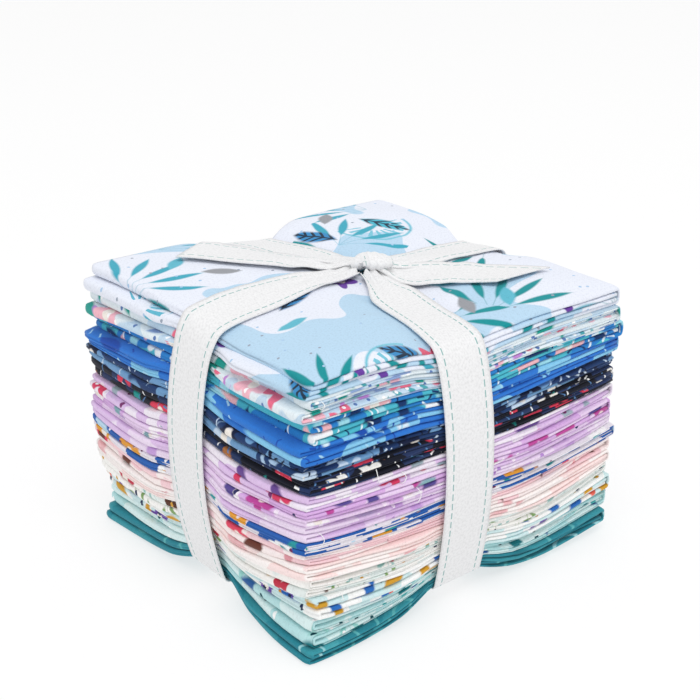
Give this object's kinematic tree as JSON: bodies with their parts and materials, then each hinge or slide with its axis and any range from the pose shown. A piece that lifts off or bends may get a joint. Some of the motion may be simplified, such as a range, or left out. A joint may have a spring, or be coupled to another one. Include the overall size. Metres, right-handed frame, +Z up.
{
  "type": "fat quarter bundle",
  "caption": "Stack of folded quilting cotton cuts in blue, lilac, pink, white and teal prints, tied both ways with a pale ribbon that is knotted on top with free tails.",
  "frame": {"origin": "under the middle of the bundle, on the surface it rests on (bottom centre of the bounding box)", "axes": "+Z up; +X towards the side where each cut shows one large fold, -X towards the side with two small rolls a cut; +Y towards the back, -Y the side where the layers show edge on in the picture"},
  "size_m": [0.1604, 0.1544, 0.1089],
  "materials": {
    "cotton_01": "printed cotton, pale icy ground with teal sprigs, coral and plum flowers, grey leaves and silver flecks, plain weave, matt",
    "cotton_02": "printed cotton, light periwinkle with coral, sage and teal motifs and silver flecks, plain weave, matt",
    "cotton_03": "printed cotton, bright blue with white and peach motifs, plain weave, matt",
    "cotton_04": "printed cotton, cornflower blue, tone on tone, plain weave, matt",
    "cotton_05": "printed cotton, steel and navy blue, tone on tone, plain weave, matt",
    "cotton_06": "printed cotton, near-black navy with orange, red, white and light blue motifs, plain weave, matt",
    "cotton_07": "printed cotton, pale lilac with white, coral, brown and teal motifs, plain weave, matt",
    "cotton_08": "printed cotton, orchid with sage, coral and white motifs, plain weave, matt",
    "cotton_09": "printed cotton, lilac, tone on tone, plain weave, matt",
    "cotton_10": "printed cotton, pale peach with steel blue motifs and orange spots, plain weave, matt",
    "cotton_11": "printed cotton, pink with coral and brown motifs, plain weave, matt",
    "cotton_12": "printed cotton, pink, tone on tone, plain weave, matt",
    "cotton_13": "printed cotton, white with sage outlines, plain weave, matt",
    "cotton_14": "printed cotton, white with small ochre, coral, purple, blue and teal motifs, plain weave, matt",
    "cotton_15": "printed cotton, mint with teal and dark motifs, plain weave, matt",
    "cotton_16": "printed cotton, teal with light outlines and white specks, plain weave, matt",
    "ribbon": "off-white woven cotton tape with a dashed mint line inside each edge, soft sheen"
  },
  "bodies": {
    "root": {"fat_quarter_01": "cotton_01", "fat_quarter_02": "cotton_02", "fat_quarter_03": "cotton_03", "fat_quarter_04": "cotton_04", "fat_quarter_05": "cotton_05", "fat_quarter_06": "cotton_06", "fat_quarter_07": "cotton_07", "fat_quarter_08": "cotton_08", "fat_quarter_09": "cotton_09", "fat_quarter_10": "cotton_10", "fat_quarter_11": "cotton_11", "fat_quarter_12": "cotton_12", "fat_quarter_13": "cotton_13", "fat_quarter_14": "cotton_14", "fat_quarter_15": "cotton_15", "fat_quarter_16": "cotton_16", "ribbon_tie": "ribbon"}
  },
  "joints": []
}
